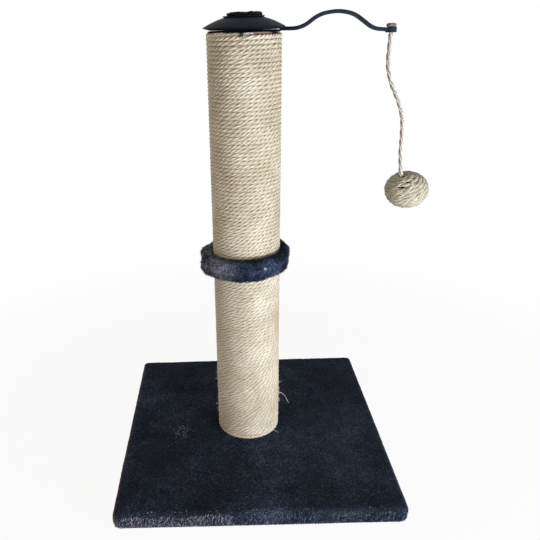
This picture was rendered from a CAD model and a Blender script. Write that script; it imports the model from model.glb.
"""Looks of a cat scratching post: sisal rope on a cardboard tube, navy plush on the base and the
ring, and a black swivelling cap whose arm hangs a rope-wound ball. Metres."""
import math
from functools import partial

import bpy
import numpy as np
from mathutils import Matrix, Vector, noise


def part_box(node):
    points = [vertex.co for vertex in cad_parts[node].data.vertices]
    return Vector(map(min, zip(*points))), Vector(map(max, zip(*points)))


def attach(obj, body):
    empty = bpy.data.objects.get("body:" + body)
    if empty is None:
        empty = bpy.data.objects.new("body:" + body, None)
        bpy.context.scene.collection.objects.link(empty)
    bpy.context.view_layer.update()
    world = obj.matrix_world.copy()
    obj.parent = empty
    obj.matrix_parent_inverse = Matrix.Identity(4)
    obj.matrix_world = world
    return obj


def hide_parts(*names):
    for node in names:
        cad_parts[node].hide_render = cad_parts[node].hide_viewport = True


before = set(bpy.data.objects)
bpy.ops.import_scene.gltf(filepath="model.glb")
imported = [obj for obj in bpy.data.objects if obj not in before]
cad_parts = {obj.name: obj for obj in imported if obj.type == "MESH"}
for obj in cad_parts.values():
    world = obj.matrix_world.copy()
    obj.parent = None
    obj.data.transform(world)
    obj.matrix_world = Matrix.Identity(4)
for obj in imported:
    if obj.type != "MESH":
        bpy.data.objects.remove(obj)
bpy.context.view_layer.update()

# unseeded, noise_vector shifts its noise by the clock
NOISE_SEED = 1795567187
noise.seed_set(NOISE_SEED)

# ---- camera, floor and light ----
# The post is photographed from the height of its cap, a little to its left, and fills the frame.
# It stands on a white floor under a broad lamp at the right and a weaker, warmer one at the left.

CAMERA_PLACE = (-0.0292, -0.7161, 0.5471)
CAMERA_YAW, CAMERA_PITCH, CAMERA_ROLL = -0.45, 22.91, -1.76
FRAME_PX, FOCAL_PX = 540, 598.5
AXIS_PX = (220, 280)
SENSOR_MM = 36

yaw, pitch, roll = (math.radians(a) for a in (CAMERA_YAW, CAMERA_PITCH, CAMERA_ROLL))
sight = Vector((math.sin(yaw) * math.cos(pitch), math.cos(yaw) * math.cos(pitch), -math.sin(pitch)))
level = Vector((math.cos(yaw), -math.sin(yaw), 0))
upward = level.cross(sight)
across = math.cos(roll) * level + math.sin(roll) * upward
upward = -math.sin(roll) * level + math.cos(roll) * upward

camera_data = bpy.data.cameras.new("camera")
camera_data.sensor_width = SENSOR_MM
camera_data.lens = SENSOR_MM * FOCAL_PX / FRAME_PX
camera_data.shift_x = (FRAME_PX / 2 - AXIS_PX[0]) / FRAME_PX
camera_data.shift_y = (AXIS_PX[1] - FRAME_PX / 2) / FRAME_PX
camera = bpy.data.objects.new("camera", camera_data)
camera.matrix_world = (
    Matrix.Translation(CAMERA_PLACE) @ Matrix((across, upward, -sight)).transposed().to_4x4())
bpy.context.scene.collection.objects.link(camera)
bpy.context.scene.camera = camera
bpy.context.scene.view_settings.view_transform = "Standard"


class Tone:
    """A socket of a finish's nodes. Sums and products of tones add Math nodes, node any other."""

    def __init__(self, tree, socket=None):
        self.tree, self.socket = tree, socket

    def node(self, kind, settings=None, sockets=None, out=0):
        made = self.tree.nodes.new(kind)
        for name, setting in (settings or {}).items():
            if name == "stops":
                ramp = made.color_ramp.elements
                ramp.remove(ramp[1])
                ramp[0].position, ramp[0].color = setting[0]
                for place, colour in setting[1:]:
                    ramp.new(place).color = colour
            else:
                setattr(made, name, setting)
        for name, value in (sockets or {}).items():
            if isinstance(value, Tone):
                self.tree.links.new(value.socket, made.inputs[name])
            else:
                made.inputs[name].default_value = value
        return Tone(self.tree, made.outputs[out])

    def math(self, operation, *values):
        return self.node("ShaderNodeMath", {"operation": operation}, dict(enumerate(values)))

    def __add__(self, other):
        return self.math("ADD", self, other)

    def __sub__(self, other):
        return self.math("SUBTRACT", self, other)

    def __rsub__(self, other):
        return self.math("SUBTRACT", other, self)

    def __mul__(self, other):
        return self.math("MULTIPLY", self, other)

    def __mod__(self, other):
        return self.math("MODULO", self, other)

    def __abs__(self):
        return self.math("ABSOLUTE", self)

    __radd__, __rmul__ = __add__, __mul__

    def between(self, low, high):
        """From 0 at low to 1 at high, smoothly."""
        return self.node("ShaderNodeMapRange", {"interpolation_type": "SMOOTHSTEP"},
                         {"Value": self, "From Min": low, "From Max": high})

    def blend(self, low, high):
        """One colour where this is 0 and the other where it is 1."""
        return self.node("ShaderNodeMix", {"data_type": "RGBA"}, {0: self, 6: low, 7: high}, out=2)

    def axis(self, letter):
        """One coordinate of this place or direction."""
        return self.node("ShaderNodeSeparateXYZ", None, {0: self}, out="XYZ".index(letter))

    def stretched(self, x, y, z):
        """This place with each axis scaled."""
        return self.node("ShaderNodeVectorMath", {"operation": "MULTIPLY"},
                         {0: self, 1: (x, y, z)})

    def cloud(self, scale, detail=3.0):
        """Soft noise at this place, from 0 to 1."""
        return self.node("ShaderNodeTexNoise", None,
                         {"Vector": self, "Scale": scale, "Detail": detail, "Roughness": 0.6})


def colour(red, green, blue):
    """A colour as it is seen on a screen, 0 to 255, as the light that it gives back."""
    seen = (c / 255 for c in (red, green, blue))
    return tuple(c / 12.92 if c <= 0.04045 else ((c + 0.055) / 1.055) ** 2.4
                 for c in seen) + (1.0,)


class Finish:
    """A material: its constants are set on the shader, and what varies is linked by paint."""

    def __init__(self, name, **constants):
        self.material = bpy.data.materials.new(name)
        self.material.use_nodes = True
        self.tree = self.material.node_tree
        self.shader = self.tree.nodes["Principled BSDF"]
        self.tone = Tone(self.tree)
        self.place = self.tone.node("ShaderNodeTexCoord", out=3)
        for name, value in constants.items():
            self.shader.inputs[name.replace("_", " ").title()].default_value = value

    def paint(self, **tones):
        for name, tone in tones.items():
            self.tree.links.new(tone.socket, self.shader.inputs[name.replace("_", " ").title()])
        return self.material

    def bump(self, height, depth):
        """A normal from a height, whose full range is depth metres."""
        return self.tone.node("ShaderNodeBump", None, {"Height": height, "Distance": depth})


def mesh_piece(name, places, faces, material, smooth=True):
    """A mesh from its points and its faces."""
    mesh = bpy.data.meshes.new(name)
    mesh.from_pydata([tuple(map(float, p)) for p in places], [], faces)
    mesh.polygons.foreach_set("use_smooth", [smooth] * len(mesh.polygons))
    mesh.materials.append(material)
    piece = bpy.data.objects.new(name, mesh)
    bpy.context.scene.collection.objects.link(piece)
    return piece


def seen_directly(tones):
    """1 for a ray from the camera or off a glossy face, and 0 for any other."""
    return (tones.node("ShaderNodeLightPath", out="Is Camera Ray")
            + tones.node("ShaderNodeLightPath", out="Is Glossy Ray"))


WHITE = (1, 1, 1, 1)
FLOOR_HALF = 6.0
# near the post the floor shows a little shade, which ends between these distances
SHADOW_REACH = (0.35, 0.9)
FLOOR_OWN_LIGHT = 0.93

floor_finish = Finish("floor_white", Base_Color=(0.9, 0.9, 0.9, 1), Roughness=0.9)
paper = floor_finish.tone
seen = seen_directly(paper)
away = paper.node("ShaderNodeVectorMath", {"operation": "LENGTH"}, {0: floor_finish.place}, out=1)
glow = paper.node("ShaderNodeEmission", None, {"Color": WHITE, "Strength": 1.0})
share = seen * (FLOOR_OWN_LIGHT + (1 - FLOOR_OWN_LIGHT) * away.between(*SHADOW_REACH))
shade = paper.node("ShaderNodeMixShader", None, {0: share})
links, nodes = floor_finish.tree.links, floor_finish.tree.nodes
links.new(floor_finish.shader.outputs[0], shade.socket.node.inputs[1])
links.new(glow.socket, shade.socket.node.inputs[2])
links.new(shade.socket, nodes["Material Output"].inputs[0])
floor = mesh_piece("floor", [(x * FLOOR_HALF, y * FLOOR_HALF, 0)
                             for x, y in ((-1, -1), (1, -1), (1, 1), (-1, 1))],
                   [(0, 1, 2, 3)], floor_finish.material, smooth=False)

WORLD_LIGHT = 0.24
WORLD_TINT = (1.0, 0.9, 0.78, 1.0)
world = bpy.data.worlds.new("studio")
world.use_nodes = True
bpy.context.scene.world = world
sky = Tone(world.node_tree)
background = world.node_tree.nodes["Background"]
direct = seen_directly(sky)
strength = WORLD_LIGHT + (1 - WORLD_LIGHT) * direct
world.node_tree.links.new(strength.socket, background.inputs[1])
world.node_tree.links.new(direct.blend(WORLD_TINT, WHITE).socket, background.inputs[0])


def soft_lamp(name, place, width, power, tint):
    """A square lamp of one width that faces the post's lower half."""
    data = bpy.data.lights.new(name, "AREA")
    data.size, data.energy, data.color = width, power, tint
    lamp = bpy.data.objects.new(name, data)
    lamp.location = place
    lamp.rotation_euler = (Vector(POST_LOW) - Vector(place)).to_track_quat("-Z", "Y").to_euler()
    bpy.context.scene.collection.objects.link(lamp)


POST_LOW = (0, 0, 0.2)
soft_lamp("key_right", (0.66, -0.75, 0.1), width=0.6, power=18.5, tint=(0.96, 0.98, 1.0))
soft_lamp("fill_left", (-1.3, -0.7, 0.4), width=1.0, power=3.9, tint=(1.0, 0.8, 0.6))

# ---- hanging cord ----
# A three-strand sisal cord 5 mm thick. It is knotted above the eyelet of the arm, hangs below it in
# the bends that it kept from the coil it came from, and goes into the ball at its pole.

CORD_WIDTH = 0.005
CORD_LAY = 0.033
CORD_POINTS = 240
SWING_POINT = (0.1626, 0.0, 0.5343)
CORD_ROUTE = [
    SWING_POINT, (0.1619, -0.0003, 0.519), (0.1615, -0.0006, 0.5015), (0.1668, -0.0014, 0.482),
    (0.1766, -0.0024, 0.4635), (0.1829, -0.0034, 0.4445), (0.1836, -0.0046, 0.425),
    (0.1831, -0.0058, 0.407), (0.1842, -0.007, 0.3915), (0.1855, -0.0074, 0.3792),
    (0.188, -0.0064, 0.3685),
]
HEAD_TOP, HEAD_FOOT, HEAD_POINTS = 0.5366, 0.5325, 7
TO_VIEWER = (0, -1, 0)

LOBES, LOBE_POINTS = 3, 5
LOBE_HALF_ARC = math.radians(118)
WANDER_GRAIN = 26
SISAL_DARK, SISAL, SISAL_PALE = colour(160, 144, 120), colour(212, 204, 184), colour(240, 236, 224)
SISAL_GROOVE = colour(122, 102, 80)
SISAL_FIBRE = 0.0003
# how much fibres and strands together, and whole stretches, tell in the tint
GRAIN_SHARE, STRETCH_SHARE = 0.75, 0.35
SISAL_SPREAD, GROOVE_EDGE = (0.36, 0.74), (0.24, 0.48)
SISAL_MIDDLE = 0.45


def sisal_finish(name, dark, middle, pale, groove, groove_share, fine=0.5):
    """Laid sisal: u runs along the rope in metres, v once round it. fine is the fibres' part."""
    finish = Finish(name, Roughness=0.6)
    along = finish.tone.node("ShaderNodeUVMap")
    fibres = along.stretched(60, 14, 0).cloud(scale=5.0, detail=4.0)
    strand = along.stretched(14, 3, 0).cloud(scale=1.6, detail=2.0)
    stretch = finish.place.cloud(scale=22.0)
    tint = fine * fibres + (GRAIN_SHARE - fine) * strand + STRETCH_SHARE * stretch
    tint = tint.between(*SISAL_SPREAD)
    base = tint.node("ShaderNodeValToRGB",
                     {"stops": [(0.0, dark), (SISAL_MIDDLE, middle), (1.0, pale)]}, {0: tint})
    edge = abs((along.axis("Y") * LOBES) % 1 - 0.5).between(*GROOVE_EDGE)
    worn = (groove_share * edge).blend(base, groove)
    return finish.paint(base_color=worn, normal=finish.bump(fibres, SISAL_FIBRE))


sisal = sisal_finish("sisal", SISAL_DARK, SISAL, SISAL_PALE, SISAL_GROOVE, 0.75)
cord_sisal = sisal_finish("cord_sisal", colour(156, 149, 140), colour(200, 195, 187),
                          colour(218, 214, 207), colour(96, 86, 78), 0.9, fine=0.15)


def line_lengths(points):
    """How far along the line each of its points lies."""
    return np.concatenate([[0], np.cumsum(np.linalg.norm(np.diff(points, axis=0), axis=1))])


def laid_rope(name, centres, outs, radius, lay, material, flat=1.0, wander=0.0, relief=1.0):
    """A three-strand rope along points, whose strands are lobes that turn once in a lay. wander is
    how many radians they drift by, flat how much wider the rope is pressed than its radius along
    outs, and relief how much of the lobes' shape is left."""
    centres, outs = np.asarray(centres), np.asarray(outs)
    ways = np.gradient(centres, axis=0)
    ways /= np.linalg.norm(ways, axis=1)[:, None]
    outs = outs - ways * np.sum(outs * ways, axis=1)[:, None]
    outs /= np.linalg.norm(outs, axis=1)[:, None]
    sides = np.cross(ways, outs)
    run = line_lengths(centres)
    radius = np.broadcast_to(radius, len(centres))[:, None]
    strand_centre = 1 / (1 + math.sin(math.pi / LOBES))
    strand_radius = 1 - strand_centre
    round_count = LOBES * LOBE_POINTS
    # each lobe is the outer arc of its strand, from one groove to the next
    offsets = []
    for lobe in range(LOBES):
        toward = 2 * math.pi * lobe / LOBES
        for k in range(LOBE_POINTS):
            turn = LOBE_HALF_ARC * (2 * (k + 0.5) / LOBE_POINTS - 1)
            offsets.append(
                (strand_centre * math.cos(toward) + strand_radius * math.cos(toward + turn),
                 strand_centre * math.sin(toward) + strand_radius * math.sin(toward + turn)))
    offsets = np.array(offsets)
    offsets *= relief + (1 - relief) / np.linalg.norm(offsets, axis=1)[:, None]
    count = len(centres)
    drift = 0
    if wander:
        drift = np.array([noise.noise(Vector((r * WANDER_GRAIN, 0, count))) for r in run])
    turns = -2 * math.pi * run / lay + wander * drift
    cosine, sine = np.cos(turns)[:, None], np.sin(turns)[:, None]
    u = (offsets[None, :, 0] * cosine - offsets[None, :, 1] * sine) * radius
    v = (offsets[None, :, 0] * sine + offsets[None, :, 1] * cosine) * radius * flat
    points = (centres[:, None, :] + u[:, :, None] * outs[:, None, :]
              + v[:, :, None] * sides[:, None, :])
    faces, marks = [], []
    for i in range(count - 1):
        for j in range(round_count):
            after = (j + 1) % round_count
            faces.append((i * round_count + j, i * round_count + after,
                          (i + 1) * round_count + after, (i + 1) * round_count + j))
            low, high = j / round_count, (j + 1) / round_count
            marks += [(run[i], low), (run[i], high), (run[i + 1], high), (run[i + 1], low)]
    for end, order in ((0, -1), (count - 1, 1)):
        loop = [end * round_count + j for j in range(round_count)][::order]
        faces.append(tuple(loop))
        marks += [(run[end], 0.5)] * round_count
    piece = mesh_piece(name, points.reshape(-1, 3), faces, material)
    lines = piece.data.uv_layers.new(name="UVMap")
    lines.data.foreach_set("uv", np.array(marks, dtype=np.float32).ravel())
    return piece


def steered_line(name, points, resolution):
    """A curve whose smooth line the points steer."""
    line = bpy.data.curves.new(name, "CURVE")
    line.dimensions = "3D"
    line.resolution_u = resolution
    spline = line.splines.new("NURBS")
    spline.points.add(len(points) - 1)
    for point, place in zip(spline.points, points):
        point.co = (*place, 1)
    spline.order_u = 3
    spline.use_endpoint_u = True
    return line


def smooth_route(points, count):
    """Evenly spaced places on the smooth line that the route's points steer."""
    line = steered_line("route", points, resolution=24)
    holder = bpy.data.objects.new("route", line)
    drawn = bpy.data.meshes.new_from_object(holder)
    places = np.array([vertex.co for vertex in drawn.vertices])
    bpy.data.objects.remove(holder)
    bpy.data.curves.remove(line)
    bpy.data.meshes.remove(drawn)
    run = line_lengths(places)
    marks = np.linspace(0, run[-1], count)
    return np.stack([np.interp(marks, run, places[:, k]) for k in range(3)], axis=1)


def eyelet_line(foot, top, count):
    """Points straight up the eyelet's axis."""
    return [(SWING_POINT[0], 0, foot + (top - foot) * k / (count - 1)) for k in range(count)]


cord_path = smooth_route(CORD_ROUTE, CORD_POINTS)
cord = laid_rope("hanging_cord", cord_path, [TO_VIEWER] * CORD_POINTS, CORD_WIDTH / 2, CORD_LAY,
                 cord_sisal)
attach(cord, "cord")
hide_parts("toy_cord")

head = laid_rope("cord_head", eyelet_line(HEAD_FOOT, HEAD_TOP, HEAD_POINTS),
                 [TO_VIEWER] * HEAD_POINTS, CORD_WIDTH / 2, CORD_LAY, cord_sisal)
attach(head, "cord")

# ---- base ----
# A square board wrapped in navy plush, which is turned in underneath and stapled. The pile on the
# top lies in brushed patches, and on the sides it is combed down, paler and streaky.

base_low, base_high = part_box("base_cover")
board_low, board_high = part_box("base_board")
BASE_MIDDLE = Vector(((base_low.x + base_high.x) / 2, 0, 0))
BASE_HALF, BASE_HEIGHT = (base_high.x - base_low.x) / 2, base_high.z
TOP_CORNER, FOOT_CORNER, EDGE_ROUND, HEM_ROUND = 0.006, 0.0095, 0.0045, 0.002
FOOT_SHARE = 0.7
HEM_WIDTH = 0.03
BOARD_ROOM, BOARD_SKIN = 0.0004, 0.0002
TOP_HOLE = 0.004
UNDER_LOOPS, HEM_STEPS, SIDE_STEPS, EDGE_STEPS, TOP_STEPS = 5, 3, 9, 6, 60
BASE_LUMP, BASE_LUMP_GRAIN = 0.0007, 45
CORNERS = ((1, 1), (-1, 1), (-1, -1), (1, -1))
CORNER_POINTS, STRAIGHT_POINTS = 8, 44

NAVY_DEEP, NAVY, NAVY_LIT = colour(11, 14, 22), colour(31, 38, 54), colour(76, 87, 112)
SIDE_LEFT = (colour(84, 85, 108), colour(154, 154, 180), colour(204, 205, 222))
SIDE_RIGHT = (colour(28, 36, 56), colour(70, 84, 113), colour(128, 138, 164))
LEFT_EDGE = colour(104, 80, 70)
TOP_PATCH, SIDE_PATCH = 11.0, 24.0
PLUSH_SPREAD = (0.36, 0.68)
TIP_GRAIN, TIP_BUMP = 520.0, 0.0012
WORN_EDGE = (0.001, 0.0055)
SIDE_TURNS_NAVY, TOP_TURNS_DEEP = (-0.13, 0.05), (-0.06, 0.16)


def plush_tones(patch, contrast, stops, finish, grain):
    """Brushed patches with the grain of the pile over them, as a colour."""
    brushed = finish.place.cloud(patch)
    tint = (contrast * brushed + (1 - contrast) * grain).between(*PLUSH_SPREAD)
    return tint.node("ShaderNodeValToRGB", {"stops": list(zip((0.0, 0.5, 1.0), stops))}, {0: tint})


def cloth(name, sheen):
    """The finish that plush and its pile share."""
    finish = Finish(name, Roughness=0.9, Sheen_Weight=sheen, Sheen_Roughness=0.4)
    finish.shader.inputs["Specular IOR Level"].default_value = 0.15
    finish.shader.inputs["Sheen Tint"].default_value = colour(150, 165, 200)
    return finish


def plush(name, tones, bump, sheen=0.1):
    """Cloth under pile, coloured by tones(finish, grain)."""
    finish = cloth(name, sheen)
    tips = finish.place.cloud(TIP_GRAIN, detail=2.0)
    return finish.paint(base_color=tones(finish, tips), normal=finish.bump(tips, bump))


def pile(name, tones, deep, root_share=0.6, sheen=0.1):
    """Locks of pile, coloured by tones(finish, grain) with one tone each, and deep at the root."""
    finish = cloth(name, sheen)
    lock = finish.tone.node("ShaderNodeUVMap")
    root = 1 - lock.axis("Y")
    tone = tones(finish, 0.25 + 0.5 * lock.axis("X"))
    return finish.paint(base_color=(root_share * root).blend(tone, deep))


def edge_brown(finish, tone):
    """A tone with the worn, brownish line along the base's left edge."""
    near, far = (base_low.x + reach for reach in WORN_EDGE)
    edge = 1 - finish.place.axis("X").between(near, far)
    worn = 0.75 * edge * finish.place.cloud(90.0, detail=2.0).between(0.3, 0.55)
    return worn.blend(tone, LEFT_EDGE)


def top_tones(contrast, finish, grain):
    """The top's pile lies away from the viewer at the right, and looks deeper there."""
    tone = plush_tones(TOP_PATCH, contrast, (NAVY_DEEP, NAVY, NAVY_LIT), finish, grain)
    deeper = 0.4 * finish.place.axis("X").between(*TOP_TURNS_DEEP)
    return edge_brown(finish, deeper.blend(tone, NAVY_DEEP))


def side_tones(finish, grain):
    """The sides' pile is brushed up pale at the left, and navy elsewhere."""
    left = plush_tones(SIDE_PATCH, 0.35, SIDE_LEFT, finish, grain)
    right = plush_tones(SIDE_PATCH, 0.35, SIDE_RIGHT, finish, grain)
    return edge_brown(finish, finish.place.axis("X").between(*SIDE_TURNS_NAVY).blend(left, right))


navy_plush = plush("navy_plush", partial(top_tones, 0.4), TIP_BUMP)
navy_pile = pile("navy_pile", partial(top_tones, 0.25), NAVY_DEEP)
side_pile = pile("side_pile", side_tones, NAVY_DEEP)


def rounded_square(half, corner, height):
    """A square loop with rounded corners, counter-clockwise seen from above."""
    corner = min(corner, half * 0.98)
    straight = half - corner
    loop = []
    for quarter, (x, y) in enumerate(CORNERS):
        turn = math.pi / 2 * quarter
        for k in range(CORNER_POINTS):
            angle = turn + math.pi / 2 * k / CORNER_POINTS
            loop.append((x * straight + corner * math.cos(angle),
                         y * straight + corner * math.sin(angle)))
        after_x, after_y = CORNERS[(quarter + 1) % 4]
        end = turn + math.pi / 2
        for k in range(STRAIGHT_POINTS):
            share = k / STRAIGHT_POINTS
            loop.append(((x + (after_x - x) * share) * straight + corner * math.cos(end),
                         (y + (after_y - y) * share) * straight + corner * math.sin(end)))
    return [BASE_MIDDLE + Vector((*place, height)) for place in loop]


def loft(name, loops, material):
    """A closed skin through loops of equal counts, its first and last loop filled."""
    count = len(loops[0])
    last = (len(loops) - 1) * count
    faces = [tuple(range(count))[::-1], tuple(range(last, last + count))]
    for i in range(len(loops) - 1):
        for j in range(count):
            after = (j + 1) % count
            faces.append((i * count + j, i * count + after,
                          (i + 1) * count + after, (i + 1) * count + j))
    return mesh_piece(name, [p for loop in loops for p in loop], faces, material)


def foot_corner(height):
    """The plush is pulled in round the board's corners, more so near the floor."""
    share = min(1, height / (FOOT_SHARE * BASE_HEIGHT))
    return FOOT_CORNER + (TOP_CORNER - FOOT_CORNER) * share


def out_ways(turns):
    """The ways out from the post's axis, at angles round it."""
    return np.stack([np.cos(turns), np.sin(turns), 0 * turns], axis=1)


def quarter_turn(steps):
    """Angles from 0 to a right angle."""
    return [math.pi / 2 * k / steps for k in range(steps + 1)]


def base_loops():
    """From the plush under the board, out round the hem, up the side and in over the top."""
    board_half = (board_high.x - board_low.x) / 2
    room, over, under = board_half + BOARD_ROOM, board_high.z + BOARD_SKIN, board_low.z - BOARD_SKIN
    inner, hem = BASE_HALF - EDGE_ROUND, BASE_HALF - HEM_WIDTH
    steps = [(TOP_HOLE, over), (room, over), (room, under), (hem, under), (hem, 0.0)]
    steps += [(BASE_HALF - HEM_ROUND * (1 - math.sin(a)), HEM_ROUND * (1 - math.cos(a)))
              for a in quarter_turn(HEM_STEPS)]
    rise = BASE_HEIGHT - EDGE_ROUND - HEM_ROUND
    steps += [(BASE_HALF, HEM_ROUND + rise * k / SIDE_STEPS) for k in range(1, SIDE_STEPS)]
    steps += [(BASE_HALF - EDGE_ROUND * (1 - math.cos(a)),
               BASE_HEIGHT - EDGE_ROUND * (1 - math.sin(a))) for a in quarter_turn(EDGE_STEPS)]
    steps += [(inner * (1 - k / TOP_STEPS) + TOP_HOLE * k / TOP_STEPS, BASE_HEIGHT)
              for k in range(1, TOP_STEPS + 1)]
    corners = [TOP_CORNER / 2 if k < UNDER_LOOPS else foot_corner(height)
               for k, (_, height) in enumerate(steps)]
    return [rounded_square(half, corner, height) for (half, height), corner in zip(steps, corners)]


def swell(place, lump, grain):
    """A place of soft stuff, pushed about a little by its filling."""
    return Vector(place) + lump * noise.noise_vector(Vector(place) * grain)


loops = [[swell(p, BASE_LUMP, BASE_LUMP_GRAIN) if k >= UNDER_LOOPS and p[2] > HEM_ROUND else p
          for p in loop] for k, loop in enumerate(base_loops())]
base = loft("base_plush", loops, navy_plush)
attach(base, "stand")
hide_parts("base_cover")

# a lock's middle and its tip: how far along its way, and how far along its bend
MIDDLE_WAY, MIDDLE_BEND, TIP_WAY, TIP_BEND = 0.55, 0.2, 0.9, 0.75
MIDDLE_WIDTH = 0.8
PILE_WIDTH = 0.0006


def blades(name, roots, ways, bends, lengths, width, material, seed):
    """Locks of pile or fibre: each a narrow tapered leaf from its root along its way, bent over."""
    random = np.random.default_rng(seed)
    count = len(roots)
    roots, ways, bends = (np.asarray(a, dtype=float) for a in (roots, ways, bends))
    bends = np.broadcast_to(bends, roots.shape)
    lengths = np.broadcast_to(np.asarray(lengths, dtype=float), count)[:, None]
    ways = ways / np.linalg.norm(ways, axis=1)[:, None]
    sides = np.cross(ways, random.normal(size=ways.shape))
    sides *= width / 2 / np.linalg.norm(sides, axis=1)[:, None]
    middle = roots + ways * lengths * MIDDLE_WAY + bends * lengths * MIDDLE_BEND
    tips = roots + ways * lengths * TIP_WAY + bends * lengths * TIP_BEND
    points = np.stack([roots - sides, roots + sides, middle - sides * MIDDLE_WIDTH,
                       middle + sides * MIDDLE_WIDTH, tips], axis=1)
    # each lock's own number, and how far along it each corner of its two faces lies
    marks = np.empty((count, 7, 2), dtype=np.float32)
    marks[:, :, 0] = random.random(count)[:, None]
    marks[:, :, 1] = (0, 0, *[MIDDLE_WAY] * 4, 1)
    faces = []
    for a in range(0, 5 * count, 5):
        faces += [(a, a + 1, a + 3, a + 2), (a + 2, a + 3, a + 4)]
    piece = mesh_piece(name, points.reshape(-1, 3), faces, material)
    piece.data.uv_layers.new(name="UVMap").data.foreach_set("uv", marks.ravel())
    return piece


SIDE_LEVELS = 24
SIDE_FIRST, SIDE_LAST, SIDE_SCATTER = 0.0028, 0.0008, 0.0004
SIDE_LOCKS, SIDE_LENGTH, SIDE_WIDTH = 34000, 0.0052, 0.0007
SIDE_COMB_GRAIN, TOP_COMB_GRAIN = 22, 14
TOP_LOCKS, TOP_LENGTH = 48000, 0.003
TOP_MARGIN, TOP_ROOT, POST_ROOM = 0.004, 0.0003, 0.043
DOWN = np.array((0, 0, -1))


def side_locks(count, seed):
    """Roots and ways of the pile on the sides, combed down and to one hand."""
    random = np.random.default_rng(seed)
    roots, outs, combs = [], [], []
    for height in np.linspace(SIDE_FIRST, BASE_HEIGHT - SIDE_LAST, SIDE_LEVELS):
        over = max(0, height - BASE_HEIGHT + EDGE_ROUND)
        inset = EDGE_ROUND - math.sqrt(EDGE_ROUND ** 2 - over ** 2) + 0.0004
        loop = np.array(rounded_square(BASE_HALF - inset, foot_corner(height), height))
        gap = np.roll(loop, -1, axis=0) - loop
        width = np.linalg.norm(gap, axis=1)
        pick = random.choice(len(loop), count // SIDE_LEVELS, p=width / width.sum())
        roots.append(loop[pick] + gap[pick] * random.random((len(pick), 1)))
        combs.append(-gap[pick] / width[pick, None])
        outs.append(np.cross(gap[pick] / width[pick, None], (0, 0, 1)))
    roots, outs, combs = (np.concatenate(a) for a in (roots, outs, combs))
    roots[:, 2] += random.uniform(-SIDE_SCATTER, SIDE_SCATTER, len(roots))
    lean = 0.5 + 0.6 * np.array([noise.noise(Vector(p) * SIDE_COMB_GRAIN) for p in roots])
    ways = outs * 0.22 + combs * lean[:, None] + 0.7 * DOWN + random.normal(0, 0.1, roots.shape)
    lengths = SIDE_LENGTH * random.uniform(0.5, 1.1, len(roots))
    return roots, ways, outs * -0.1 + 0.15 * DOWN, np.minimum(lengths, roots[:, 2] * 0.95)


def top_locks(count, seed):
    """Roots and ways of the pile on the top, which lies over in brushed patches."""
    random = np.random.default_rng(seed)
    places = random.uniform(-1, 1, (count, 2)) * (BASE_HALF - TOP_MARGIN)
    roots = np.stack([places[:, 0] + BASE_MIDDLE.x, places[:, 1],
                      0 * places[:, 0] + BASE_HEIGHT - TOP_ROOT], axis=1)
    roots = roots[np.hypot(roots[:, 0], roots[:, 1]) > POST_ROOM]
    combed = np.array([noise.noise_vector(Vector(p) * TOP_COMB_GRAIN) for p in roots]) * (1, 1, 0)
    ways = combed * 1.6 - 0.35 * DOWN + random.normal(0, 0.3, roots.shape)
    ways[:, 2] = np.abs(ways[:, 2])
    return (roots, ways, combed * 0.6 + 0.3 * DOWN,
            TOP_LENGTH * random.uniform(0.5, 1.1, len(roots)))


for name, locks, width, material, seed in (
        ("base_side_pile", side_locks(SIDE_LOCKS, 11), SIDE_WIDTH, side_pile, 11),
        ("base_top_pile", top_locks(TOP_LOCKS, 12), PILE_WIDTH, navy_pile, 12)):
    piece = blades(name, *locks, width, material, seed)
    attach(piece, "stand")

# ---- lint on the base ----
# Pale crumbs of sisal that have fallen on the plush: bunches along the front edge, single ones all
# over the top, and a worn patch at the left of the post.

LINT_BUNCHES, LINT_BUNCH, LINT_TOP, LINT_WORN = 10, 4, 34, 100
LINT_PATCH, LINT_PATCH_SPREAD = (-0.0935, -0.021, BASE_HEIGHT + 0.0008), (0.007, 0.009, 0)
LINT_WIDTH = 0.0004
lint_white = Finish("lint", Roughness=0.8, Base_Color=colour(150, 154, 168)).material
random = np.random.default_rng(31)
at_edge = LINT_BUNCHES * LINT_BUNCH
edge_x = (np.repeat(random.uniform(-0.14, 0.16, LINT_BUNCHES), LINT_BUNCH)
          + random.normal(0, 0.004, at_edge))
edge = np.stack([edge_x, random.normal(-BASE_HALF + 0.003, 0.0008, at_edge),
                 np.full(at_edge, BASE_HEIGHT - 0.0002)], axis=1)
spread = np.stack([random.uniform(-0.15, 0.16, LINT_TOP), random.uniform(-0.16, 0.15, LINT_TOP),
                   np.full(LINT_TOP, BASE_HEIGHT + 0.0008)], axis=1)
patch = np.array(LINT_PATCH) + random.normal(0, 1, (LINT_WORN, 3)) * LINT_PATCH_SPREAD
roots = np.concatenate([edge, spread, patch])
ways = random.normal(0, 1, roots.shape) * (1, 0.4, 0.15)
lengths = random.uniform(0.0006, 0.0028, len(roots))
lint = blades("base_lint", roots, ways, (0, 0, 0.1), lengths, LINT_WIDTH, lint_white, 32)
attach(lint, "stand")

# ---- board, tube and the fixings inside ----
# The base's board, the post's cardboard tube and its board plugs, and the steel bolts, nuts, nails
# and staples that hold them. They show only underneath, or where a piece is taken off.


def plain_finish(name, low, high, grain=(1, 1, 1), **constants):
    """One stuff whose colour drifts a little between two tones."""
    finish = Finish(name, **constants)
    drift = finish.place.stretched(*grain).cloud(60.0)
    return finish.paint(base_color=drift.blend(low, high))


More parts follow.
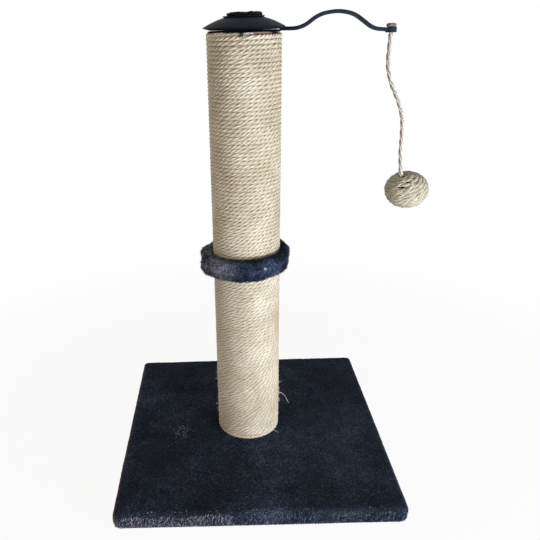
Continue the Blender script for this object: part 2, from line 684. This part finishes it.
board = plain_finish("sawn_board", colour(176, 140, 96), colour(206, 176, 132), (0.2, 2, 2),
                     Roughness=0.7)
card = plain_finish("core_card", colour(142, 108, 96), colour(164, 130, 118), Roughness=0.85)
steel = plain_finish("zinc_steel", colour(160, 160, 164), colour(190, 190, 194), Metallic=1.0,
                     Roughness=0.35)
core = plain_finish("ball_plastic", colour(52, 46, 40), colour(70, 62, 54), Roughness=0.6)
INSIDE = {
    board: ["base_board", "tube_plug_lower", "tube_plug_upper"],
    card: ["post_tube"],
    steel: ["cover_staples", "post_washer", "post_bolt", "t_nut_lower", "t_nut_upper",
            "plug_nails_lower", "plug_nails_upper", "rope_staples", "pivot_washer", "pivot_bolt"],
    core: ["ball_core"],
    sisal: ["cord_end_knot"],
}


def dress(name, material):
    """Gives a CAD piece its finish."""
    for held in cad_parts[name].material_slots:
        held.material = material


for material, names in INSIDE.items():
    for name in names:
        dress(name, material)

# ---- rope on the post ----
# One length of three-strand sisal rope, wound tightly round the tube from the base to the cap, each
# turn against the last. Both ends taper out under a staple, level with the tube's ends.

tube_low, tube_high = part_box("post_tube")
ROPE_PITCH = 0.0045
ROPE_RADIUS, ROPE_FLAT, ROPE_RELIEF = 0.0024, 1.1, 0.72
ROPE_LAY, ROPE_WANDER = 0.0195, 3.2
ROPE_STEP = 0.0012
ROPE_LINE = tube_high.x + 0.00205
ROPE_TURNS = (tube_high.z - tube_low.z - ROPE_PITCH) / ROPE_PITCH
# the rope wavers in and out and up and down, slowly along its turns
UNEVEN_OUT, UNEVEN_UP, UNEVEN_GRAIN = 0.00018, 0.0003, 1.7
ROPE_TAIL = 0.2
TAIL_RADIUS = 0.0009
TAIL_SHIFT, TAIL_TURNS = 0.0012, 3
WINDINGS = 5

post_sisal = sisal_finish("post_sisal", SISAL_DARK, SISAL, SISAL_PALE, SISAL_GROOVE, 0.55)


def rope_line(first, last):
    """Centre points of the rope from one turn to another, its ways out and its radii."""
    count = int((last - first) * 2 * math.pi * ROPE_LINE / ROPE_STEP)
    turns = np.linspace(first, last, count)
    outs = out_ways(math.pi / 2 + 2 * math.pi * turns)
    beyond = np.maximum(np.maximum(-turns, turns - ROPE_TURNS), 0) / ROPE_TAIL
    radii = ROPE_RADIUS + (TAIL_RADIUS - ROPE_RADIUS) * beyond
    uneven = np.array([[noise.noise(Vector((t * UNEVEN_GRAIN, k, 0))) for k in (0, 9)]
                       for t in turns])
    reach = ROPE_LINE - (ROPE_RADIUS - radii) + UNEVEN_OUT * uneven[:, 0]
    centres = outs * reach[:, None]
    height = tube_low.z + ROPE_PITCH * (turns + 0.5) + UNEVEN_UP * uneven[:, 1]
    # the last turns at each end are pressed outwards, against the staple
    height += TAIL_SHIFT * np.clip((turns - ROPE_TURNS) / TAIL_TURNS + 1, 0, 1)
    height -= TAIL_SHIFT * np.clip(1 - turns / TAIL_TURNS, 0, 1)
    room = radii * ROPE_FLAT * 0.9
    centres[:, 2] = np.clip(height, tube_low.z + room, tube_high.z - room)
    return centres, outs, radii


for k in range(WINDINGS):
    first = ROPE_TURNS * k / WINDINGS - (ROPE_TAIL if k == 0 else 0)
    last = ROPE_TURNS * (k + 1) / WINDINGS + (ROPE_TAIL if k == WINDINGS - 1 else 0)
    centres, outs, radii = rope_line(first, last)
    winding = laid_rope(f"post_rope_{k + 1}", centres, outs, radii, ROPE_LAY, post_sisal,
                        ROPE_FLAT, ROPE_WANDER, ROPE_RELIEF)
    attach(winding, "stand")
    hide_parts(f"sisal_winding_{k + 1}")

# ---- stray fibres of the rope ----
# Fine sisal fibres that stand off the post, most of them at the two sides of its worn foot. Two at
# the foot's right are long, one of them curled over.

FIBRE_WIDTH, FIBRE_RESOLUTION = 0.00045, 12
FOOT_FIBRES, ALL_FIBRES = 34, 80
LEFT_ANGLE, RIGHT_ANGLE, ANGLE_SPREAD = 184, -4, 6
FOOT_HEIGHTS, ALL_HEIGHTS = (0.04, 0.115), (0.03, 0.53)
fibre_pale = Finish("stray_fibre", Roughness=0.7, Base_Color=colour(232, 226, 212)).material


def post_spot(angle, height):
    """A place on the rope's outer face, by degrees round the post from +X."""
    reach = ROPE_LINE + ROPE_RADIUS * 0.9
    turn = math.radians(angle)
    return (reach * math.cos(turn), reach * math.sin(turn), height)


random = np.random.default_rng(41)
angles = np.concatenate([random.normal(LEFT_ANGLE, ANGLE_SPREAD, FOOT_FIBRES),
                         random.normal(RIGHT_ANGLE, ANGLE_SPREAD, FOOT_FIBRES),
                         random.uniform(0, 360, ALL_FIBRES)])
heights = np.concatenate([random.uniform(*FOOT_HEIGHTS, 2 * FOOT_FIBRES),
                          random.uniform(*ALL_HEIGHTS, ALL_FIBRES)])
roots = np.array([post_spot(a, h) for a, h in zip(angles, heights)])
outs = roots * (1, 1, 0) / np.hypot(roots[:, 0], roots[:, 1])[:, None]
ways = outs * random.uniform(0.3, 1, len(roots))[:, None] + random.normal(0, 0.55, roots.shape)
lengths = random.uniform(0.002, 0.006, len(roots))
fibres = blades("post_fibres", roots, ways, (0, 0, -0.4), lengths, FIBRE_WIDTH, fibre_pale, 42)


def curled_fibre(name, angle, height, points):
    """One long fibre through places given as (out, aside, up) from its root."""
    turn = math.radians(angle)
    out = Vector((math.cos(turn), math.sin(turn), 0))
    aside = Vector((-math.sin(turn), math.cos(turn), 0))
    root = Vector(post_spot(angle, height))
    line = steered_line(name, [root + out * o + aside * a + Vector((0, 0, u))
                               for o, a, u in points], FIBRE_RESOLUTION)
    line.bevel_depth = FIBRE_WIDTH / 2
    line.bevel_resolution = 1
    line.materials.append(fibre_pale)
    piece = bpy.data.objects.new(name, line)
    bpy.context.scene.collection.objects.link(piece)
    return piece


long_fibre = curled_fibre("long_fibre", -25, 0.083, [
    (-0.001, 0, 0), (0.005, 0, 0.001), (0.0115, 0, -0.002), (0.016, 0, -0.01),
    (0.0175, 0, -0.0135)])
low_fibre = curled_fibre("low_fibre", -48, 0.031, [
    (-0.001, 0, 0), (0.004, 0.003, 0), (0.009, 0.007, -0.004)])
for piece in (fibres, long_fibre, low_fibre):
    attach(piece, "stand")

# ---- plush ring ----
# A strip of foam wrapped in blue-grey plush and closed round the post half way up. It sits a little
# askew and is fuller at the left, where its pile is brushed over in long strokes.

ring_low, ring_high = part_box("plush_ring")
RING_OUTER = ring_high.x
RING_INNER = 0.0428
RING_LUMP, RING_LUMP_GRAIN = 0.0009, 110
RING_TILT = math.tan(math.radians(2.0))
RING_ASIDE = 0.0022
RING_SQUARE = 3.0
RING_POINTS, RING_SECTION_POINTS = 240, 44
RING_GREY = (colour(62, 68, 88), colour(136, 142, 164), colour(196, 200, 218))
RING_NAVY = (colour(16, 23, 37), colour(45, 56, 78), colour(78, 92, 120))
RING_PATCH, RING_TURNS_NAVY = 70.0, (-0.03, 0.008)


def ring_tones(finish, grain):
    """Grey at the left, where the pile is brushed up, and navy elsewhere."""
    grey = plush_tones(RING_PATCH, 0.4, RING_GREY, finish, grain)
    navy = plush_tones(RING_PATCH, 0.4, RING_NAVY, finish, grain)
    side = (finish.place.axis("X") + 0.03 * finish.place.cloud(40.0)).between(*RING_TURNS_NAVY)
    return side.blend(grey, navy)


ring_plush = plush("ring_plush", ring_tones, TIP_BUMP, sheen=0.2)
ring_pile = pile("ring_pile", ring_tones, NAVY_DEEP, 0.65, sheen=0.2)


def ring_section(angle):
    """Radius and height of a point on the ring's section."""
    middle, half = (RING_INNER + RING_OUTER) / 2, (RING_OUTER - RING_INNER) / 2
    height, rise = (ring_low.z + ring_high.z) / 2, (ring_high.z - ring_low.z) / 2
    c, s = math.cos(angle), math.sin(angle)
    return (middle + half * math.copysign(abs(c) ** (2 / RING_SQUARE), c),
            height + rise * math.copysign(abs(s) ** (2 / RING_SQUARE), s))


def round_skin(name, round_count, section_count, place, material):
    """A closed skin from place(turn round the post, angle round the section)."""
    places, faces = [], []
    for i in range(round_count):
        for j in range(section_count):
            places.append(place(2 * math.pi * i / round_count, 2 * math.pi * j / section_count))
            a, b = (i + 1) % round_count, (j + 1) % section_count
            faces.append((i * section_count + j, a * section_count + j,
                          a * section_count + b, i * section_count + b))
    return mesh_piece(name, places, faces, material)


def ring_place(turn, angle):
    radius, height = ring_section(angle)
    outward = (radius - RING_INNER) / (RING_OUTER - RING_INNER)
    x, y = radius * math.cos(turn), radius * math.sin(turn)
    place = Vector((x - RING_ASIDE * outward, y, height + x * RING_TILT))
    return swell(place, RING_LUMP * min(1, outward * 4), RING_LUMP_GRAIN)


ring = round_skin("ring_plush", RING_POINTS, RING_SECTION_POINTS, ring_place, ring_plush)
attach(ring, "stand")
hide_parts("plush_ring")

RING_LOCKS, RING_LENGTH, RING_ROOT = 20000, 0.0042, 0.0004
RING_LOCK_REACH = 0.66 * math.pi
STROKE_GRAIN = 60
random = np.random.default_rng(21)
turns = random.uniform(0, 2 * math.pi, RING_LOCKS)
angles = random.uniform(-RING_LOCK_REACH, RING_LOCK_REACH, RING_LOCKS)
spots = np.array([ring_place(t, a) for t, a in zip(turns, angles)])
outs = out_ways(turns)
normals = outs * np.cos(angles)[:, None] - DOWN * np.sin(angles)[:, None]
arounds = np.cross(-DOWN, outs)
strokes = np.array([noise.noise_vector(Vector(p) * STROKE_GRAIN) for p in spots])
strokes -= normals * np.sum(strokes * normals, axis=1)[:, None]
left = np.clip(-outs[:, 0], 0, 1)[:, None]
ways = (normals * 0.32 + strokes * 1.5 + arounds * (0.3 + 0.9 * left)
        + random.normal(0, 0.2, spots.shape))
lengths = RING_LENGTH * random.uniform(0.5, 1.15, RING_LOCKS) * (1 + 0.35 * left[:, 0])
locks = blades("ring_pile", spots - normals * RING_ROOT, ways, strokes * 0.3 + 0.2 * DOWN, lengths,
               PILE_WIDTH, ring_pile, 22)
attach(locks, "stand")

# a pale crumb of sisal is caught in the ring's front
CRUMB_TURN, CRUMB_ANGLE, CRUMB_COUNT = math.radians(-66), 0.1, 14
random = np.random.default_rng(23)
crumb = tuple(ring_place(CRUMB_TURN, CRUMB_ANGLE) + Vector((0, -0.0008, 0)))
ways = random.normal(0, 1, (CRUMB_COUNT, 3)) * (1, 0.5, 0.8) + (0.3, -0.6, 0)
lint = blades("ring_lint", [crumb] * CRUMB_COUNT, ways, (0, 0, 0.1),
              random.uniform(0.0015, 0.0042, CRUMB_COUNT), PILE_WIDTH, fibre_pale, 24)
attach(lint, "stand")

# ---- pad under the cap ----
# A round of black plush on top of the post, which the cap turns on. Its cut edge is fuzzy, with a
# few tufts that hang over the rope's last turn.

pad_low, pad_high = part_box("top_pad")
PAD_RADIUS, PAD_HOLE = pad_high.x, 0.0106
PAD_RAGGED, RAGGED_GRAIN = 0.0012, 9
PAD_POINTS, PAD_SECTION_POINTS = 160, 24
BLACK = (colour(5, 6, 8), colour(16, 18, 24), colour(46, 50, 60))
BLACK_PATCH, BLACK_BUMP = 90.0, 0.001
black_plush = plush("black_plush", partial(plush_tones, BLACK_PATCH, 0.4, BLACK), BLACK_BUMP)
black_pile = pile("black_pile", partial(plush_tones, BLACK_PATCH, 0.3, BLACK), BLACK[0])


def pad_place(turn, angle):
    c, s = math.cos(angle), math.sin(angle)
    half, thick = (PAD_RADIUS - PAD_HOLE) / 2, (pad_high.z - pad_low.z) / 2
    radius = (PAD_RADIUS + PAD_HOLE) / 2 + half * math.copysign(abs(c) ** 0.2, c)
    if c > 0.5:
        ragged = noise.noise(Vector((math.cos(turn), math.sin(turn), 0)) * RAGGED_GRAIN)
        radius += PAD_RAGGED * ragged
    height = (pad_low.z + pad_high.z) / 2 + thick * math.copysign(abs(s) ** 0.7, s)
    return Vector((radius * math.cos(turn), radius * math.sin(turn), height))


pad = round_skin("pad_plush", PAD_POINTS, PAD_SECTION_POINTS, pad_place, black_plush)
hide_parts("top_pad")

# degrees round the post from +X, how many locks, and how far they hang
PAD_TUFTS = [(-96, 20, 0.0086), (-94, 6, 0.0078), (-42, 16, 0.0078), (-33, 12, 0.0062),
             (-130, 8, 0.0058), (35, 14, 0.0075), (150, 12, 0.0075)]
EDGE_LOCKS, EDGE_REACH = 1500, (0.0012, 0.0034)
LONG_REACH, TUFT_SPREAD = 0.0035, 0.014
random = np.random.default_rng(51)
turns = random.uniform(0, 2 * math.pi, EDGE_LOCKS)
reaches = random.uniform(*EDGE_REACH, EDGE_LOCKS)
drops = random.normal(-0.25, 0.3, EDGE_LOCKS)
for angle, count, hang in PAD_TUFTS:
    turns = np.concatenate([turns, np.radians(angle) + random.normal(0, TUFT_SPREAD, count)])
    reaches = np.concatenate([reaches, hang * random.uniform(0.7, 1.1, count)])
    drops = np.concatenate([drops, random.normal(-0.05, 0.08, count)])
outs = out_ways(turns)
roots = outs * (PAD_RADIUS - 0.0004) - DOWN * (pad_low.z + 0.0009)
ways = outs - DOWN * drops[:, None] + random.normal(0, 0.2, outs.shape)
bends = (1.1 * DOWN - outs * 0.35) * (reaches > LONG_REACH)[:, None]
edge = blades("pad_edge", roots, ways, bends, reaches, PILE_WIDTH, black_pile, 52)
for piece in (pad, edge):
    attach(piece, "stand")

# the pad's pale backing cloth pokes out at the left, on the rope's last turn
BACKING_FROM, BACKING_TO, BACKING_STEPS = math.radians(-146), math.radians(-126), 12
BACKING_RADIUS, BACKING_HALF = 0.0405, 0.0022
backing_cloth = Finish("pad_backing", Roughness=0.8, Base_Color=colour(222, 204, 196)).material
loops = []
for k in range(BACKING_STEPS + 1):
    turn = BACKING_FROM + (BACKING_TO - BACKING_FROM) * k / BACKING_STEPS
    wide = BACKING_HALF * math.sin(math.pi * (k + 0.5) / (BACKING_STEPS + 1)) ** 0.5
    loops.append([Vector(((BACKING_RADIUS + r) * math.cos(turn),
                          (BACKING_RADIUS + r) * math.sin(turn), tube_high.z + z))
                  for r, z in ((-wide, 0), (wide, -0.0002), (wide, 0.0002), (-wide, 0.0004))])
backing = loft("pad_backing", loops, backing_cloth)
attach(backing, "stand")

# ---- cap with its arm ----
# One moulding of black satin plastic: a low dome on the pivot bolt, an arched arm and an eyelet.
# The dome is a little darker and duller than the arm. The thin disc on it is of the same plastic.

CAP_REACH, ARM_BLEND = 0.046, 0.03
SCUFF_GRAIN = 220.0
plastic = Finish("black_plastic", Roughness=0.34)
plastic.shader.inputs["Specular IOR Level"].default_value = 0.05
scuffs = plastic.place.cloud(SCUFF_GRAIN)
along_arm = plastic.place.axis("X").between(CAP_REACH, CAP_REACH + ARM_BLEND)
black_plastic = plastic.paint(base_color=along_arm.blend(colour(15, 21, 31), colour(36, 44, 56)),
                              roughness=0.46 - 0.2 * along_arm + 0.16 * scuffs)
for name in ("swivel_arm", "cap_disc"):
    dress(name, black_plastic)

# ---- tuft on the cap ----
# A round of black plush stuck on the disc. Its pile stands up in uneven lumps, with a few paler
# locks among the black.

tuft_low, tuft_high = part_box("cap_plush")
tuft_middle = (tuft_low + tuft_high) / 2
TUFT_RADIUS = 0.9 * (tuft_high.x - tuft_low.x) / 2
TUFT_RISE, TUFT_SINK, TUFT_ASIDE = 0.0016, 0.0005, 0.0006
TUFT_LUMP, TUFT_LUMP_GRAIN, TUFT_FOOT = 0.0013, 190, 0.45
TUFT_ROUNDS, TUFT_SPOKES = 18, 110
TUFT_TONES = (colour(10, 12, 16), colour(38, 40, 46), colour(150, 146, 128))
TUFT_LOCKS, TUFT_LENGTH = 5200, 0.0018


def tuft_place(share, turn):
    """A place on the tuft's skin: share runs from its underside to its top."""
    lean = math.pi * share
    radius = TUFT_RADIUS * max(0.02, math.sin(lean)) ** 0.4
    x, y = radius * math.cos(turn), radius * math.sin(turn)
    place = Vector((x + TUFT_ASIDE, y, tuft_middle.z - TUFT_SINK - TUFT_RISE * math.cos(lean)))
    return swell(place, TUFT_LUMP if share > TUFT_FOOT else 0.0, TUFT_LUMP_GRAIN)


loops = [[tuft_place(k / TUFT_ROUNDS, 2 * math.pi * j / TUFT_SPOKES) for j in range(TUFT_SPOKES)]
         for k in range(TUFT_ROUNDS + 1)]
tuft = loft("cap_tuft", loops, black_plush)
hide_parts("cap_plush")

tuft_pile = pile("tuft_pile", partial(plush_tones, BLACK_PATCH, 0.2, TUFT_TONES), BLACK[0], 0.5)
random = np.random.default_rng(61)
shares = random.uniform(0.4, 0.97, TUFT_LOCKS)
turns = random.uniform(0, 2 * math.pi, TUFT_LOCKS)
roots = np.array([tuft_place(s, t) for s, t in zip(shares, turns)])
ways = (out_ways(turns) * (1 - shares)[:, None] * 1.2 + random.normal(0, 0.6, roots.shape)
        - 0.45 * DOWN)
locks = blades("cap_tuft_pile", roots, ways, 0.3 * DOWN,
               TUFT_LENGTH * random.uniform(0.5, 1.2, TUFT_LOCKS), PILE_WIDTH, tuft_pile, 62)
for piece in (tuft, locks):
    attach(piece, "arm")

# ---- knot on the eyelet ----
# The cord's end is knotted above the eyelet, so that it can't slip through. The knot is pulled down
# flat and is grey from handling.

knot_low, knot_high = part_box("cord_knot")
KNOT_POINTS, KNOT_ROPE, KNOT_LAY = 200, 0.0021, 0.012
KNOT_REACH, KNOT_LOBE, KNOT_DEPTH, KNOT_RISE = 0.003, 0.0008, 0.0018, 0.0004
STUB_POINTS, STUB_SINK = 13, 0.0012
knot_sisal = sisal_finish("knot_sisal", colour(84, 82, 80), colour(128, 124, 118),
                          colour(170, 164, 154), colour(60, 56, 54), 0.7)


def knot_line():
    """A flat trefoil round the eyelet's axis."""
    places = []
    for k in range(KNOT_POINTS):
        t = 2 * math.pi * k / (KNOT_POINTS - 1)
        reach = KNOT_REACH + KNOT_LOBE * math.cos(3 * t)
        places.append((SWING_POINT[0] + reach * math.cos(2 * t), reach * math.sin(2 * t),
                       knot_high.z - KNOT_DEPTH + KNOT_RISE * math.sin(3 * t)))
    return places


knot = laid_rope("eyelet_knot", knot_line(), [(0, 0, 1)] * KNOT_POINTS, KNOT_ROPE, KNOT_LAY,
                 knot_sisal)
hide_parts("cord_knot")
stub = laid_rope("eyelet_stub", eyelet_line(knot_low.z, knot_high.z - STUB_SINK, STUB_POINTS),
                 [TO_VIEWER] * STUB_POINTS, CORD_WIDTH / 2, CORD_LAY, knot_sisal)
for piece in (knot, stub):
    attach(piece, "knot")

# ---- ball ----
# A hollow plastic core wound with sisal rope from the cord's hole to the far side. The turns are
# tight, apart from a few near the hole, where the dark core shows between them.

BALL_CENTRE = Vector((0.1961, 0, 0.3578))
BALL_SHAPE = Vector((0.0263, 0.0263, 0.0224))
BALL_POLE = Vector((-0.378, -0.2675, 0.886))
BALL_START, BALL_END = 0.11, 0.06
BALL_DENT, BALL_DENT_GRAIN = 0.012, 2.6
BALL_PITCH = 0.0051
BALL_ROPE, BALL_LAY, BALL_STEP = 0.0028, 0.03, 0.0009
BALL_FLAT, BALL_WANDER, BALL_RELIEF = 1.12, 2.0, 0.6
# the rope is thinner where it starts at the hole, and full after this length
BALL_THIN, BALL_FULL = 0.72, 0.04
# where a turn lies apart from the next: turns from the start, half the length in turns, and share
BALL_GAP = 0.004
BALL_GAPS = [(1.77, 0.06, 1.0), (2.7, 0.08, 1.0), (1.9, 0.04, 0.6), (2.86, 0.04, 0.55)]
PROBE = 0.01
ball_turn = Vector((0, 0, 1)).rotation_difference(BALL_POLE).to_matrix()
ball_sisal = sisal_finish("ball_sisal", colour(150, 141, 124), colour(186, 180, 163),
                          colour(208, 203, 190), colour(124, 114, 98), 0.4, fine=0.25)


def ball_place(lean, angle):
    """A place on the ball, by its angle from the hole and round it, and the way out there."""
    way = ball_turn @ Vector((math.sin(lean) * math.cos(angle), math.sin(lean) * math.sin(angle),
                              math.cos(lean)))
    # each side of the ball is a little flatter than round
    flat = 1 - BALL_DENT * noise.noise(way * BALL_DENT_GRAIN)
    out = Vector([a / b for a, b in zip(way, BALL_SHAPE)]).normalized()
    return BALL_CENTRE + way * BALL_SHAPE * flat, out


def gap_shift(turns):
    """How far the rope is pushed aside at some turns from its start, to open the gaps."""
    shift = 0.0
    for turn, half, share in BALL_GAPS:
        for side in (-1, 1):
            away = (turns - turn - (side + 1) / 2) / half
            shift += side * share * BALL_GAP / 2 * max(0, 1 - away ** 2)
    return shift


def ball_spiral():
    """Centre points of the ball's rope, its ways out and its radii, from the hole on."""
    lean, angle, run = BALL_START, 0.0, 0.0
    centres, outs, radii = [], [], []
    while lean < math.pi - BALL_END:
        place = ball_place(lean, angle)[0]
        loop = (ball_place(lean, angle + PROBE)[0] - place).length / PROBE
        slope = (ball_place(lean + PROBE, angle)[0] - place).length / PROBE
        shift = gap_shift(angle / (2 * math.pi))
        place, out = ball_place(lean + shift / slope, angle)
        centres.append(place - out * BALL_ROPE * 0.95)
        outs.append(out)
        radii.append(BALL_ROPE * min(1, BALL_THIN + run / BALL_FULL))
        turn = BALL_STEP / loop
        lean += BALL_PITCH * turn / (2 * math.pi) / slope
        angle += turn
        run += BALL_STEP
    return centres, outs, radii


centres, outs, radii = ball_spiral()
ball = laid_rope("ball_winding", centres, outs, radii, BALL_LAY, ball_sisal, BALL_FLAT,
                 BALL_WANDER, BALL_RELIEF)
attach(ball, "ball")
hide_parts("ball_rope")
